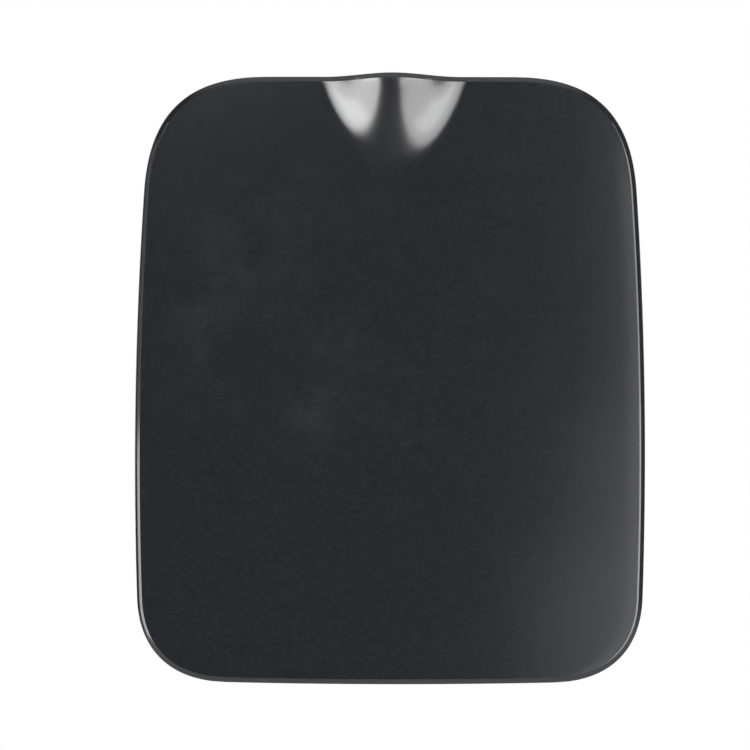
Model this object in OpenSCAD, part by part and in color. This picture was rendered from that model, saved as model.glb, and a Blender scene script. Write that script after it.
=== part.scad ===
// Car fuel door on its hinge: a hemmed steel door skin over a pressed inner panel,
// swinging on a pinned bracket that stays on the car body.
// Millimetres. X runs along the hinge pin, +Z up, +Y into the car. The origin is the
// middle of the two body screw holes, on the face of the bracket that meets the body.

/* [Door skin] */
// Width of the door at its widest place
panel_w = 146.6; // [138:0.2:156]
// Height of the door between its plain edges
panel_h = 174.4; // [166:0.2:184]
// Height of the widest place above the bottom edge
waist_z = 64; // [50:1:78]
// Radius of the long bow of each side
side_bow_r = 1210; // [900:10:2000]
// Radius of the shallow bow of the bottom edge
bottom_bow_r = 2290; // [1500:10:4000]
// Reach of a top corner along its two edges
top_corner = 33; // [27:0.5:37]
// Reach of a bottom corner along its two edges
bottom_corner = 24.6; // [20:0.2:30]
// Fullness of the top corners, where 0.55 is a true arc
top_fullness = 0.69; // [0.55:0.01:0.74]
// Fullness of the bottom corners
bottom_fullness = 0.64; // [0.55:0.01:0.74]
// Crown radius across the door
crown_r_x = 950; // [700:10:2000]
// Crown radius along the door
crown_r_z = 1500; // [900:10:3000]
// Sheet thickness of the skin
skin_t = 0.8; // [0.6:0.05:1]
// Outer radius of the fold along the edge
hem_r = 1.3; // [1.3:0.05:1.6]
// Width of the folded flange behind the edge
hem_flange = 7; // [5:0.5:8]

/* [Finger scoop] */
// Width of the scoop at the top edge
scoop_w = 44.4; // [38:0.2:47]
// Distance of the middle of the scoop to the right of the door's middle
scoop_x = 0.6; // [-1:0.1:1]
// Reach of the scoop down the face
scoop_h = 28; // [22:0.5:29]
// Depth of the scoop at the top edge
scoop_depth = 5.5; // [4:0.1:6]
// Fullness of the foot of the scoop, where 2 is an ellipse and 1 is a parabola
scoop_taper = 1.1; // [1:0.05:2]
// Fullness of the scoop across, where 2 is a round section
scoop_power = 2.3; // [2:0.05:3]
// Swell of the scoop's sides, where 1 meets the face at a sharp rim
scoop_swell = 1.95; // [1.1:0.05:2.2]
// Width over which the scoop rolls into the face
scoop_roll = 0.45; // [0.3:0.05:2]
// Rise of the lip that bulges out over the scoop
lip_rise = 1.6; // [0.8:0.1:2.2]
// Width of the lip
lip_w = 41; // [34:0.5:48]

/* [Inner panel] */
// Sheet thickness of the inner panel
inner_t = 0.8; // [0.6:0.05:0.9]
// Height of the pressed field over the rim
inner_rise = 3.5; // [3:0.1:4.5]
// Width of the flat rim that the hem holds
rim_w = 9; // [8:0.5:11]
// Width of the slope between rim and field
rim_slope_w = 7; // [5:0.5:9]
// Radius of the notch that clears the scoop
notch_r = 26; // [25:0.5:28]
// Radius of a lightening hole in the field
light_hole_r = 8.5; // [6:0.5:8.5]
// Distance of a lightening hole from the middle of the door
light_hole_x = 32; // [28:0.5:34]
// Height of the lightening holes above the bottom edge
light_hole_z = 84; // [80:0.5:88]
// Radius of a paint drain hole
drain_r = 3; // [2:0.5:4]
// Distance of a drain hole from the middle of the door
drain_x = 33; // [30:0.5:36]
// Height of the drain holes above the bottom edge
drain_z = 57; // [56:0.5:62]
// Width of the slope round a flat seat of the inner panel
seat_slope_w = 3; // [2:0.5:4]
// Flat margin of a seat round the piece that stands on it
seat_margin = 5.2; // [5:0.1:6]

/* [Hinge] */
// Height of the pin above the bottom edge of the door
hinge_up = 16; // [15:0.5:20]
// Distance from the pin forward to the inner panel's hinge seat
seat_reach = 8; // [7.6:0.1:9]
// Distance from the pin back to the plate of the bracket
throat = 14; // [13:0.5:16]
// Height of the body screws above the pin
screw_up = 15; // [14:0.5:18]
// Spacing of the body screw holes
screw_spacing = 32; // [28:0.5:34]
// Radius of a body screw hole
screw_hole_r = 3.3; // [2.6:0.1:3.5]
// Thickness of the bracket plate
bracket_t = 2; // [1.5:0.1:2.5]
// Distance between the outer faces of the bracket ears
bracket_w = 56; // [52:0.5:60]
// Top edge of the bracket plate above the pin
plate_up = 24; // [23:0.5:28]
// Bottom edge of the bracket plate below the pin
plate_down = 8; // [7.5:0.5:9]
// Radius of the nose of a bracket ear
ear_nose_r = 6.4; // [6:0.1:6.8]
// Top edge of the bracket ears below the top edge of the plate
ear_drop = 6; // [4:0.5:8]
// Reach of the ears' top edge in front of the plate
ear_brow = 5; // [4:0.5:6]
// Inner radius of the bends between plate and ears
bracket_bend_r = 2; // [1.5:0.1:2.5]
// Radius of the plate's top corners
plate_corner_r = 5; // [3:0.5:6]
// Radius of the hinge pin
pin_r = 2.5; // [2:0.1:2.7]
// Radius of the head of the pin
pin_head_r = 4.5; // [4:0.1:5.5]
// Thickness of the head of the pin
pin_head_t = 1.8; // [1:0.1:2.5]
// Length of the pin past the clip
pin_tail = 1.6; // [1:0.1:3]
// Outer radius of the retaining clip
clip_r = 4.4; // [4:0.1:5]
// Thickness of the retaining clip
clip_t = 0.8; // [0.6:0.1:1.2]
// Depth of the clip groove in the pin
groove_depth = 0.6; // [0.4:0.05:0.8]
// Outer radius of the washer under the clip
washer_r = 5; // [4.5:0.1:6]
// Thickness of the washer under the clip
washer_t = 0.8; // [0.5:0.1:1.2]

/* [Hinge leaf] */
// Sheet thickness of the leaf
leaf_t = 1.5; // [1.2:0.1:1.8]
// Top edge of the leaf above the pin
leaf_up = 30; // [28:0.5:32]
// Bottom edge of the leaf's flange below the pin
leaf_down = 1; // [0:0.5:1.5]
// Top edge of the leaf's ears below the top edge of its flange
leaf_ear_drop = 5; // [4:0.5:7]
// Inner radius of the bends between flange and ears
leaf_bend_r = 1.5; // [1:0.1:1.8]
// Radius of the flange's top corners
leaf_corner_r = 4; // [3:0.5:5]
// Width of the toe that stops the open door
toe_w = 3.6; // [3:0.2:4.4]
// Distance from the pin to each flat of the cam nose
cam_flat = 5.5; // [5.2:0.05:5.8]
// Radius of the corners of the cam nose
cam_corner_r = 2.8; // [2.4:0.1:3.2]
// Wall of a hinge bush
bush_wall = 1.1; // [0.8:0.05:1.3]
// Radius of a bush flange
bush_flange_r = 5; // [4.6:0.1:5.2]
// Thickness of a bush flange
bush_flange_t = 0.8; // [0.6:0.05:1.2]
// Length of the barrel of a bush past its flange
bush_barrel = 3; // [2.4:0.1:4]
// Spacing of the hinge screws
leaf_screw_spacing = 24; // [20:0.5:28]
// Height of the hinge screws above the pin
leaf_screw_up = 19; // [17:0.5:21]
// Radius of a hinge screw shank
leaf_screw_r = 2.5; // [2:0.1:3]
// Radius of a hinge screw head
leaf_screw_head_r = 4.6; // [4.2:0.1:5.2]
// Height of a hinge screw head
leaf_screw_head_h = 2.8; // [2:0.1:3.4]
// Radius across the corners of the driver socket
socket_r = 2.2; // [1.6:0.1:2.4]
// Radius of a spring washer under a screw head
screw_washer_r = 4.9; // [4.6:0.1:5.4]
// Thickness of a washer under a screw head
screw_washer_t = 0.9; // [0.6:0.1:1.2]
// Radius across the corners of a weld nut
nut_r = 5; // [4.6:0.1:6]
// Thickness of a weld nut
nut_t = 2.7; // [2:0.1:2.8]

/* [Detent spring] */
// Thickness of the spring blade
blade_t = 0.7; // [0.5:0.05:0.9]
// Height of the spring blade
blade_h = 8; // [6:0.5:9]
// Width of the flat middle of the blade
blade_seat_w = 15; // [14:0.5:18]
// Width of the flat at each end of the blade
blade_tip_w = 4; // [3.5:0.5:5]
// Spacing of the spring rivets
blade_rivet_spacing = 8; // [7.4:0.2:9]
// Radius of a spring rivet shank
blade_rivet_r = 1.5; // [1.2:0.1:1.7]
// Radius of a spring rivet head
blade_rivet_head_r = 2.5; // [2.2:0.1:2.9]
// Height of a spring rivet head
blade_rivet_head_h = 1.3; // [1:0.1:1.6]

/* [Lock eye] */
// Distance from the top edge down to the middle of the lock eye
lock_drop = 43.4; // [42.4:0.2:46.4]
// Height of the lock eye
lock_h = 18; // [16:0.5:20]
// Width of the riveted flange of the lock eye
lock_flange_w = 16; // [15:0.5:18]
// Sheet thickness of the lock eye
lock_t = 2; // [1.5:0.1:2.2]
// Distance from the seat to the middle of the pin hole
lock_reach = 17; // [15:0.5:22]
// Radius of the hole that takes the lock pin
lock_hole_r = 4; // [3:0.1:5]
// Inner radius of the bend between flange and tongue
lock_bend_r = 1.5; // [1:0.1:2.2]
// Radius of the flange's corners
lock_corner_r = 3; // [2:0.5:4]
// Spacing of the lock eye rivets
lock_rivet_spacing = 9; // [8.4:0.2:10]
// Distance of the rivets from the tongue
lock_rivet_x = 9; // [7:0.5:10]
// Radius of a lock eye rivet shank
lock_rivet_r = 1.8; // [1.5:0.1:2]
// Radius of a lock eye rivet head
lock_rivet_head_r = 3.2; // [2.8:0.1:3.5]
// Height of a lock eye rivet head
lock_rivet_head_h = 1.3; // [1:0.1:1.8]

/* [Buffers] */
// Distance of a buffer from the middle of the door
buffer_x = 43; // [41:0.5:44]
// Height of the lower buffers above the bottom edge
buffer_low_z = 34; // [33:0.5:36]
// Height of the upper buffers above the bottom edge
buffer_high_z = 126; // [124:0.5:128]
// Radius of a buffer head
buffer_r = 6; // [5:0.1:6.4]
// Height of a buffer head over its seat
buffer_h = 7; // [5:0.5:10]
// Radius of a buffer neck
buffer_neck_r = 3.1; // [2.6:0.1:3.6]
// Radius of the barb that holds a buffer in its hole
buffer_barb_r = 4.4; // [4:0.1:4.8]
// Length of the barb
buffer_barb_h = 1.6; // [1.2:0.1:2]
// Rounding of a buffer head
buffer_round = 1.6; // [0.8:0.1:2.4]

/* [Mastic] */
// Radius of a mastic pad between skin and inner panel
mastic_r = 5; // [4:0.5:6]
// Distance of the outer mastic pads from the middle
mastic_x = 30; // [28:1:34]
// Height of the lower mastic pads above the bottom edge
mastic_low_z = 62; // [60:1:66]
// Height of the upper mastic pads above the bottom edge
mastic_high_z = 108; // [104:1:110]

/* [Fits] */
// Play between the skin and each face of the inner panel's rim
rim_fit = 0.1; // [0.05:0.01:0.15]
// Gap between the inner panel's edge and the fold
rim_edge_gap = 0.5; // [0.3:0.1:0.8]
// Radial play of the pin in its bushes
run_fit = 0.06; // [0.03:0.01:0.1]
// Radial play of a fixed shank in its hole
shank_fit = 0.05; // [0.03:0.01:0.1]
// Side play of the leaf between the bracket ears
side_play = 0.3; // [0.2:0.05:0.5]
// Gap left at the cam flats and at the open stop
stop_gap = 0.3; // [0.2:0.05:0.4]
// Gap round a rubber or mastic piece
soft_gap = 0.25; // [0.2:0.05:0.3]

/* [Hidden] */

// Grid of the skin: columns, then rows round the bottom corner, up the side, round the top corner
SKIN_GRID = [40, [8, 14, 16]];
// Grid of the inner panel
INNER_GRID = [30, [6, 16, 8]];
// Steps of the fold, outside and inside
FOLD_STEPS = 5;
FOLD_STEPS_IN = 2;
// Share of the columns' even spacing kept in the middle of the door
COLUMN_EASE = 0.62;
// Heights over which the bows of the bottom and top edges fade into the rows
BOTTOM_FADE = 40;
TOP_FADE = 25;
// Steps round the corner of a plate
CORNER_STEPS = 6;
$fn = 64;

pin_y = -bracket_t - throat;
pin_z = -screw_up;
door_z = pin_z - hinge_up;
crown_z = panel_h / 2;
lock_z = panel_h - lock_drop;
half_w = bracket_w / 2;
leaf_half = half_w - bracket_t - side_play - bush_flange_t;
leaf_seat_z = hinge_up + (leaf_up - leaf_down) / 2;
stack_t = skin_t + rim_fit + inner_t;
hollow = inner_rise + rim_fit;
apex_y = pin_y - seat_reach - stack_t - inner_rise - crown(0, leaf_seat_z);
bush_r = pin_r + run_fit + bush_wall;
groove_r = pin_r - groove_depth;
shade_paint = [0.16, 0.17, 0.18];
shade_zinc = [0.7, 0.7, 0.68];
shade_steel = [0.6, 0.61, 0.63];
shade_rubber = [0.08, 0.08, 0.09];

// Sums over the first entries of a list
function total(list, count) = count == 0 ? 0 : list[count - 1] + total(list, count - 1);
function clamp01(v) = max(0, min(1, v));
function ease(v) = let (t = clamp01(v)) t * t * (3 - 2 * t);
function mix(a, b, share) = a + (b - a) * share;
function bezier(a, k, b, fullness, t) =
    let (p = mix(a, k, fullness), q = mix(b, k, fullness), s = 1 - t)
    s * s * s * a + 3 * s * s * t * p + 3 * s * t * t * q + t * t * t * b;

// Outline of the door, in door coordinates: x from the middle, z from the bottom edge
function side_x(z) = panel_w / 2 - pow(z - waist_z, 2) / (2 * side_bow_r);
function side_lean(z) = -(z - waist_z) / side_bow_r;
function bottom_edge(x) = x * x / (2 * bottom_bow_r);
function lip(x) =
    let (d = x - scoop_x) abs(d) < lip_w / 2 ? lip_rise * (1 + cos(360 * d / lip_w)) / 2 : 0;
function side_point(z) = [side_x(z), z];

top_start = side_point(panel_h - top_corner);
top_knee = [top_start.x + side_lean(top_start.y) * top_corner, panel_h];
top_end = [top_knee.x - top_corner, panel_h];
bottom_start = side_point(bottom_corner);
bottom_knee_x = bottom_start.x - side_lean(bottom_corner) * bottom_corner;
bottom_end = [bottom_knee_x - bottom_corner, bottom_edge(bottom_knee_x - bottom_corner)];
bottom_knee = [bottom_knee_x, bottom_end.y + bottom_end.x / bottom_bow_r * bottom_corner];

function right_edge(rows) = concat(
    [for (i = [0:rows[0]]) bezier(bottom_end, bottom_knee, bottom_start, bottom_fullness, i / rows[0])],
    [for (i = [1:rows[1]]) side_point(mix(bottom_start.y, top_start.y, i / rows[1]))],
    [for (i = [1:rows[2]]) bezier(top_start, top_knee, top_end, top_fullness, i / rows[2])]);
function column(c, cols) = let (t = 2 * c / cols - 1) t * (COLUMN_EASE + (1 - COLUMN_EASE) * t * t);
function outline(grid) =
    let (cols = grid[0], right = right_edge(grid[1]), last = len(right) - 1)
    concat(
        [for (c = [0:cols - 1]) let (x = column(c, cols) * bottom_end.x) [x, bottom_edge(x)]],
        [for (r = [0:last - 1]) right[r]],
        [for (c = [cols:-1:1]) let (x = column(c, cols) * top_end.x) [x, panel_h + lip(x)]],
        [for (r = [last:-1:1]) [-right[r].x, right[r].y]]);
function outward(edge, k) =
    let (n = len(edge), along = edge[(k + 1) % n] - edge[(k + n - 1) % n])
    [along.y, -along.x] / norm(along);
function inset(edge, by) = [for (k = [0:len(edge) - 1]) edge[k] - by * outward(edge, k)];

// Grid of plan points inside an edge, with each point's distance from the edge
function grid_points(edge, grid) =
    let (cols = grid[0], last = total(grid[1], 3), n = len(edge),
        low = edge[cols].y, high = edge[cols + last].y)
    [for (r = [0:last]) for (c = [0:cols])
        let (right = edge[cols + r], left = edge[(n - r) % n],
            bottom = edge[c], top = edge[2 * cols + last - c],
            sag = (bottom.y - low) * ease(1 - (right.y - low) / BOTTOM_FADE),
            rise = (top.y - high) * ease(1 - (high - right.y) / TOP_FADE),
            inside = [mix(left.x, right.x, (column(c, cols) + 1) / 2), right.y + sag + rise],
            p = r == 0 ? bottom : r == last ? top : c == 0 ? left : c == cols ? right : inside)
        [p.x, p.y, min(right.x - abs(p.x), p.y - bottom.y, top.y - p.y)]];

// Depth of the face behind the front of the crown, and the face itself
function crown(x, z) = crown_r_x - sqrt(crown_r_x * crown_r_x - x * x)
    + crown_r_z - sqrt(crown_r_z * crown_r_z - pow(z - crown_z, 2));
function scoop(x, z) =
    let (foot = pow(max(0, panel_h - z) / scoop_h, scoop_taper),
        v = 1 - pow(abs(2 * (x - scoop_x) / scoop_w), scoop_power) - foot, e = 4 * scoop_roll / scoop_w)
    scoop_depth * pow((v + sqrt(v * v + e * e)) / 2, scoop_swell);
function face_y(p) = apex_y + crown(p.x, p.y) + scoop(p.x, p.y);
function on_face(p, depth) = [p.x, face_y(p) + depth, door_z + p.y];

// Back of the inner panel's field, and its flat seats as [x, z, half width, half height]
function field_y(x, z) = apex_y + crown(x, z) + stack_t + inner_rise;
leaf_seat = [0, leaf_seat_z, leaf_half + seat_margin / 2, (leaf_up + leaf_down) / 2 + seat_margin / 2];
lock_seat = [lock_flange_w / 2, lock_z, lock_flange_w / 2 + seat_margin, lock_h / 2 + seat_margin];
buffer_seats = [for (z = [buffer_low_z, buffer_high_z]) for (x = [-buffer_x, buffer_x])
    [x, z, buffer_r + seat_margin, buffer_r + seat_margin]];
seats = concat([leaf_seat, lock_seat], buffer_seats);
function near(d, half) = ease(1 + (half - abs(d)) / seat_slope_w);
function seated(y, p, k) = k == len(seats) ? y :
    let (s = seats[k], share = near(p.x - s[0], s[2]) * near(p.y - s[1], s[3]))
    seated(mix(y, field_y(s[0], s[1]), share), p, k + 1);
function inner_y(p) =
    let (share = ease((p[2] - rim_w + hem_r) / rim_slope_w))
    let (y = field_y(p.x, p.y) - inner_rise * (1 - share))
    share == 0 ? y : seated(y, p, 0);

// Closed sheet from a front grid, the rings of its edge and a back grid
module sheet(front, rings, back, grid) {
    cols = grid[0];
    last = total(grid[1], 3);
    count = len(front);
    turn = 2 * (cols + last);
    middle = [for (ring = rings) each ring];
    back_at = count + len(middle);
    rim = concat(
        [for (c = [0:cols - 1]) c],
        [for (r = [0:last - 1]) r * (cols + 1) + cols],
        [for (c = [cols:-1:1]) last * (cols + 1) + c],
        [for (r = [last:-1:1]) r * (cols + 1)]);
    function ring_at(k, i) = k == 0 ? rim[i % turn] : k > len(rings) ? back_at + rim[i % turn]
        : count + (k - 1) * turn + i % turn;
    cells = [for (r = [0:last - 1]) for (c = [0:cols - 1]) r * (cols + 1) + c];
    polyhedron(concat(front, middle, back), concat(
        [for (a = cells) each [[a, a + cols + 1, a + cols + 2], [a, a + cols + 2, a + 1]]],
        [for (a = cells) let (b = a + back_at)
            each [[b, b + cols + 2, b + cols + 1], [b, b + 1, b + cols + 2]]],
        [for (k = [0:len(rings)]) for (i = [0:turn - 1])
            each [[ring_at(k, i), ring_at(k, i + 1), ring_at(k + 1, i + 1)],
                [ring_at(k, i), ring_at(k + 1, i + 1), ring_at(k + 1, i)]]]));
}

// Steps of the fold as [inset, depth]: round the outside, along the flange, back inside
fold = let (in_r = hem_r - skin_t) concat(
    [for (i = [1:FOLD_STEPS]) let (a = 180 * i / FOLD_STEPS) [hem_r - hem_r * sin(a), hem_r - hem_r * cos(a)]],
    [[hem_flange, 2 * hem_r], [hem_flange, 2 * hem_r - skin_t]],
    [for (i = [FOLD_STEPS_IN:-1:1]) let (a = 180 * i / FOLD_STEPS_IN)
        [hem_r - in_r * sin(a), hem_r - in_r * cos(a)]]);

// Points round a corner from one angle to another
function arc(centre, r, from, to) = [for (i = [0:CORNER_STEPS])
    let (a = mix(from, to, i / CORNER_STEPS)) centre + r * [cos(a), sin(a)]];
// Outline points of a plate with rounded corners, centred
function plate_outline(w, h, r) =
    let (x = w / 2 - r, z = h / 2 - r)
    concat(arc([x, z], r, 0, 90), arc([-x, z], r, 90, 180), arc([-x, -z], r, 180, 270), arc([x, -z], r, 270, 360));

// Section of a channel pressed from sheet, its back on y = 0, open towards +Y
module channel(w, depth, t, bend_r) {
    difference() {
        rounded_block(w, depth, t + bend_r);
        translate([0, t]) rounded_block(w - 2 * t, depth, bend_r);
    }
}
module rounded_block(w, depth, r) {
    translate([-w / 2, r]) square([w, depth - r]);
    translate([r - w / 2, 0]) square([w - 2 * r, 2 * r]);
    for (x = [r - w / 2, w / 2 - r]) translate([x, r]) circle(r);
}

// Places a shape drawn flat so that it lies in the XZ plane and its height runs along +Y
module facing_in(x, y, z) { translate([x, y, z]) rotate([-90, 0, 0]) mirror([0, 1, 0]) children(); }
// Places a shape drawn flat as [y, z] about the pin so that its height runs along +X
module beside_pin(x) { translate([x, pin_y, pin_z]) rotate([90, 0, 90]) children(); }
module along_pin(x) { translate([x, pin_y, pin_z]) rotate([0, 90, 0]) children(); }
module bore(x, y, z, r, length) { facing_in(x, y, z) cylinder(r = r, h = length); }

module outer_panel() {
    edge = outline(SKIN_GRID);
    plan = grid_points(inset(edge, hem_r), SKIN_GRID);
    color(shade_paint) sheet([for (p = plan) on_face(p, 0)],
        [for (step = fold) [for (p = inset(edge, step[0])) on_face(p, step[1])]],
        [for (p = plan) on_face(p, skin_t)], SKIN_GRID);
}

module inner_panel() {
    edge = inset(outline(INNER_GRID), skin_t + rim_edge_gap);
    plan = grid_points(edge, INNER_GRID);
    back = [for (p = plan) [p.x, inner_y(p), door_z + p.y]];
    through = 4 * (inner_t + inner_rise);
    hole_y = field_y(0, crown_z) - through / 2;
    color(shade_paint) difference() {
        sheet([for (p = back) p - [0, inner_t, 0]], [], back, INNER_GRID);
        bore(scoop_x, hole_y, door_z + panel_h, notch_r, 2 * through);
        for (side = [-1, 1]) {
            bore(side * light_hole_x, hole_y, door_z + light_hole_z, light_hole_r, through);
            bore(side * drain_x, hole_y, door_z + drain_z, drain_r, through);
            bore(side * leaf_screw_spacing / 2, hole_y, pin_z + leaf_screw_up,
                leaf_screw_r + shank_fit, through);
            for (z = [buffer_low_z, buffer_high_z])
                bore(side * buffer_x, hole_y, door_z + z, buffer_neck_r + soft_gap, through);
            bore(lock_rivet_x, hole_y, door_z + lock_z + side * lock_rivet_spacing / 2,
                lock_rivet_r + shank_fit, through);
        }
    }
}

module mastic_pads() {
    lean = mastic_r * (mastic_x + mastic_r) / crown_r_x;
    pad_t = hollow - 2 * (soft_gap + lean);
    color(shade_rubber)
        for (x = [-mastic_x, 0, mastic_x]) for (z = [mastic_low_z, mastic_high_z])
            bore(x, apex_y + crown(x, z) + skin_t + soft_gap + lean, door_z + z, mastic_r, pad_t);
}

leaf_y = pin_y - seat_reach;
module hinge_leaf() {
    ear_y = leaf_t + leaf_bend_r - seat_reach;
    ear_top = leaf_up - leaf_ear_drop;
    toe_end = stop_gap - throat;
    cam = cam_flat - cam_corner_r;
    side = concat(
        [[-seat_reach, -leaf_down], [-seat_reach, leaf_up], [leaf_t - seat_reach, leaf_up],
            [leaf_t - seat_reach, ear_top], [ear_y, ear_top]],
        arc([cam, cam], cam_corner_r, 60, 0), arc([cam, -cam], cam_corner_r, 0, -90),
        [[ear_y + toe_w, -cam_flat], [ear_y + toe_w, toe_end], [ear_y, toe_end], [ear_y, -leaf_down]]);
    color(shade_zinc) difference() {
        intersection() {
            translate([0, leaf_y, pin_z - throat]) linear_extrude(throat + leaf_up)
                channel(2 * leaf_half, seat_reach + cam_flat, leaf_t, leaf_bend_r);
            beside_pin(-leaf_half) linear_extrude(2 * leaf_half) polygon(side);
            facing_in(0, leaf_y, pin_z) linear_extrude(seat_reach + cam_flat)
                polygon(plate_outline(2 * leaf_half, 2 * leaf_up, leaf_corner_r));
        }
        along_pin(-bracket_w) cylinder(r = bush_r + shank_fit, h = 2 * bracket_w);
        for (side = [-1, 1])
            bore(side * leaf_screw_spacing / 2, leaf_y - leaf_t, pin_z + leaf_screw_up,
                leaf_screw_r + shank_fit, 3 * leaf_t);
    }
}

head_y = leaf_y + leaf_t + screw_washer_t;
module at_leaf_screws() {
    for (side = [-1, 1]) translate([side * leaf_screw_spacing / 2, 0, pin_z + leaf_screw_up]) children();
}

module hinge_screws() {
    tail_y = leaf_y - inner_t - nut_t;
    color(shade_steel) at_leaf_screws() difference() {
        union() {
            bore(0, tail_y, 0, leaf_screw_r, head_y - tail_y);
            bore(0, head_y, 0, leaf_screw_head_r, leaf_screw_head_h);
        }
        facing_in(0, head_y + leaf_screw_head_h / 3, 0)
            cylinder(r = socket_r, h = leaf_screw_head_h, $fn = 6);
    }
}

module screw_washers() {
    color(shade_zinc) at_leaf_screws() difference() {
        bore(0, head_y - screw_washer_t, 0, screw_washer_r, screw_washer_t);
        bore(0, head_y - 2 * screw_washer_t, 0, leaf_screw_r + shank_fit, 3 * screw_washer_t);
    }
}

module weld_nuts() {
    color(shade_steel) at_leaf_screws() difference() {
        facing_in(0, leaf_y - inner_t - nut_t, 0) cylinder(r = nut_r, h = nut_t, $fn = 6);
        bore(0, leaf_y - inner_t - 2 * nut_t, 0, leaf_screw_r + shank_fit, 3 * nut_t);
    }
}

// Flanged bush in a leaf ear: its flange stands outside the ear, its barrel inside
module bush(side) {
    color("gainsboro") along_pin(side * leaf_half) mirror([0, 0, side < 0 ? 1 : 0]) difference() {
        union() {
            translate([0, 0, -bush_barrel]) cylinder(r = bush_r, h = bush_barrel + bush_flange_t / 2);
            cylinder(r = bush_flange_r, h = bush_flange_t);
        }
        translate([0, 0, -2 * bush_barrel]) cylinder(r = pin_r + run_fit, h = 4 * bush_barrel);
    }
}

lock_y = field_y(lock_seat[0], lock_z);
module lock_eye() {
    tongue_r = lock_h / 2;
    reach = lock_reach + tongue_r;
    color(shade_zinc) difference() {
        intersection() {
            translate([2 * lock_flange_w, lock_y, door_z + lock_z - tongue_r]) linear_extrude(lock_h)
                channel(4 * lock_flange_w, reach, lock_t, lock_bend_r);
            translate([0, lock_y, door_z + lock_z]) rotate([90, 0, 90]) linear_extrude(lock_flange_w) {
                translate([0, -tongue_r]) square([lock_reach, lock_h]);
                translate([lock_reach, 0]) circle(tongue_r);
            }
            facing_in(0, lock_y, door_z + lock_z) linear_extrude(reach)
                polygon(plate_outline(2 * lock_flange_w, lock_h, lock_corner_r));
        }
        translate([-lock_t, lock_y + lock_reach, door_z + lock_z]) rotate([0, 90, 0])
            cylinder(r = lock_hole_r, h = 3 * lock_t);
        for (side = [-1, 1])
            bore(lock_rivet_x, lock_y - lock_t, door_z + lock_z + side * lock_rivet_spacing / 2,
                lock_rivet_r + shank_fit, 3 * lock_t);
    }
}

// Rivet along Y from y to y plus length, with a domed head at its far end and a flat tail
module rivet(y, length, r, head_r, head_h, tail_r, tail_h) {
    facing_in(0, y, 0) {
        translate([0, 0, -tail_h]) cylinder(r = max(r, tail_r), h = tail_h);
        translate([0, 0, -tail_h]) cylinder(r = r, h = length + tail_h + head_h / 2);
        translate([0, 0, length]) rotate_extrude() intersection() {
            translate([0, head_h - dome(head_r, head_h)]) circle(dome(head_r, head_h), $fn = 96);
            square([head_r, head_h]);
        }
    }
}
function dome(r, h) = (r * r + h * h) / (2 * h);

module lock_eye_rivets() {
    color(shade_steel) for (side = [-1, 1])
        translate([lock_rivet_x, 0, door_z + lock_z + side * lock_rivet_spacing / 2])
            rivet(lock_y - inner_t, inner_t + lock_t, lock_rivet_r, lock_rivet_head_r,
                lock_rivet_head_h, lock_rivet_head_r, lock_rivet_head_h);
}

// Rubber buffer pushed into a flat seat of the inner panel
module buffer(seat) {
    hole_t = inner_t + soft_gap;
    profile = concat(
        [[0, -hole_t - buffer_barb_h], [buffer_barb_r - 1, -hole_t - buffer_barb_h],
            [buffer_barb_r, -hole_t], [buffer_neck_r, -hole_t], [buffer_neck_r, soft_gap],
            [buffer_r, soft_gap]],
        [for (a = [0:15:90]) [buffer_r - buffer_round + buffer_round * cos(a),
            buffer_h - buffer_round + buffer_round * sin(a)]],
        [[0, buffer_h]]);
    color(shade_rubber) facing_in(seat[0], field_y(seat[0], seat[1]), door_z + seat[1])
        rotate_extrude() polygon(profile);
}

module hinge_bracket() {
    knee = ear_nose_r * [-sin(40), cos(40)];
    back = throat + bracket_t;
    ear = [[0, -ear_nose_r], [back, -plate_down], [back, plate_up - ear_drop],
        [throat - ear_brow, plate_up - ear_drop], knee];
    color(shade_zinc) difference() {
        intersection() {
            translate([0, 0, pin_z - plate_down]) linear_extrude(plate_down + plate_up) mirror([0, 1, 0])
                channel(bracket_w, back + ear_nose_r, bracket_t, bracket_bend_r);
            beside_pin(-half_w) linear_extrude(bracket_w) {
                polygon(ear);
                circle(ear_nose_r);
                translate([throat, -plate_down]) square([bracket_t, plate_up + plate_down]);
            }
            facing_in(0, pin_y - ear_nose_r, pin_z) linear_extrude(back + ear_nose_r)
                polygon(plate_outline(bracket_w, 2 * plate_up, plate_corner_r));
        }
        along_pin(-bracket_w) cylinder(r = pin_r + shank_fit, h = 2 * bracket_w);
        for (side = [-1, 1]) {
            bore(side * screw_spacing / 2, -2 * bracket_t, 0, screw_hole_r, 3 * bracket_t);
            bore(side * blade_rivet_spacing / 2, -2 * bracket_t, pin_z,
                blade_rivet_r + shank_fit, 3 * bracket_t);
        }
    }
}

clip_x = half_w + washer_t;
module hinge_pin() {
    color(shade_steel) {
        along_pin(-half_w) cylinder(r = pin_r, h = bracket_w + washer_t);
        along_pin(-half_w - pin_head_t) cylinder(r = pin_head_r, h = pin_head_t);
        along_pin(half_w) cylinder(r = groove_r, h = washer_t + clip_t + pin_tail);
        along_pin(clip_x + clip_t) cylinder(r = pin_r, h = pin_tail);
    }
}

module pin_washer() {
    color(shade_zinc) along_pin(half_w) difference() {
        cylinder(r = washer_r, h = washer_t);
        translate([0, 0, -washer_t]) cylinder(r = pin_r + shank_fit, h = 3 * washer_t);
    }
}

module pin_clip() {
    mouth = 1.7 * groove_r;
    color(shade_steel) along_pin(clip_x) difference() {
        cylinder(r = clip_r, h = clip_t);
        translate([0, 0, -clip_t]) cylinder(r = groove_r + shank_fit, h = 3 * clip_t);
        translate([0, -mouth / 2, -clip_t]) cube([2 * clip_r, mouth, 3 * clip_t]);
    }
}

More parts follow.
